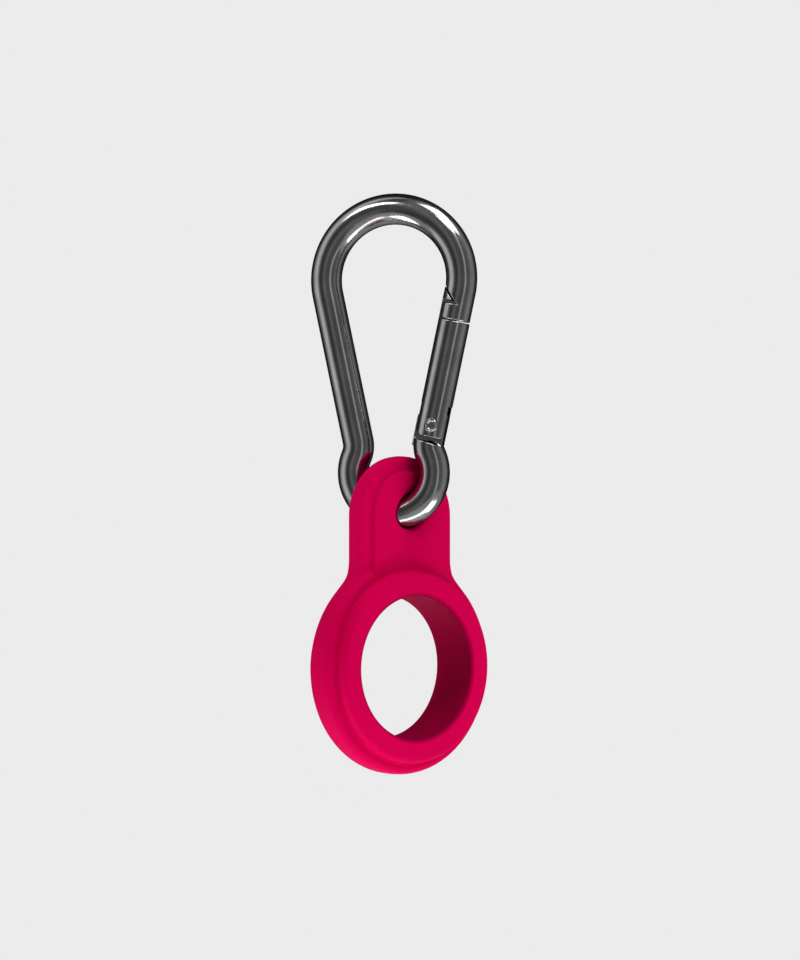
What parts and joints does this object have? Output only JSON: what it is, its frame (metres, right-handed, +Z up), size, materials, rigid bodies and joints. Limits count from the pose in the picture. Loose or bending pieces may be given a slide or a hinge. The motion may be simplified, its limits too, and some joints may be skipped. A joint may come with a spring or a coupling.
{
  "type": "bottle holder clip",
  "caption": "Silicone bottle-neck ring on a flat tab, hanging from the lower loop of a pear-shaped metal snap hook with a sprung gate.",
  "frame": {"origin": "hang point: the inside top of the hook's upper arc, in the hook's middle plane", "axes": "+Z up along the hook's length; +X towards the gate; -Y is the front; the hook lies in the XZ plane"},
  "size_m": [0.0334, 0.0368, 0.113],
  "materials": {
    "dark_metal": "polished, dark grey anodised",
    "rivet_metal": "polished",
    "spring_steel": "bright drawn wire",
    "crimson_silicone": "moulded, satin"
  },
  "bodies": {
    "hook": {"hook_body": "dark_metal"},
    "gate": {"gate": "dark_metal", "pivot_rivet": "rivet_metal", "gate_spring": "spring_steel"},
    "plunger": {"spring_plunger": "spring_steel"},
    "holder": {"silicone_holder": "crimson_silicone"}
  },
  "joints": [
    {"name": "gate_hinge", "type": "hinge", "parent": "hook", "child": "gate", "pos_m": [0.00834, 0, -0.0395], "axis": [0, -1, 0], "range_deg": [0, 28], "stiffness_Nm_per_rad": 0.1, "springref_deg": -28.65},
    {"name": "plunger_slide", "type": "slide", "parent": "gate", "child": "plunger", "axis": [0.2096, 0, 0.9778], "range_m": [0, 0.001], "deforming": ["gate_spring"]},
    {"name": "holder_swing", "type": "hinge", "parent": "hook", "child": "holder", "pos_m": [0, 0, -0.04855], "axis": [0, -1, 0], "range_deg": [-35, 35]}
  ],
  "couplings": [
    {"joint": "plunger_slide", "follows": "gate_hinge", "m_per_rad": 0.00193}
  ]
}
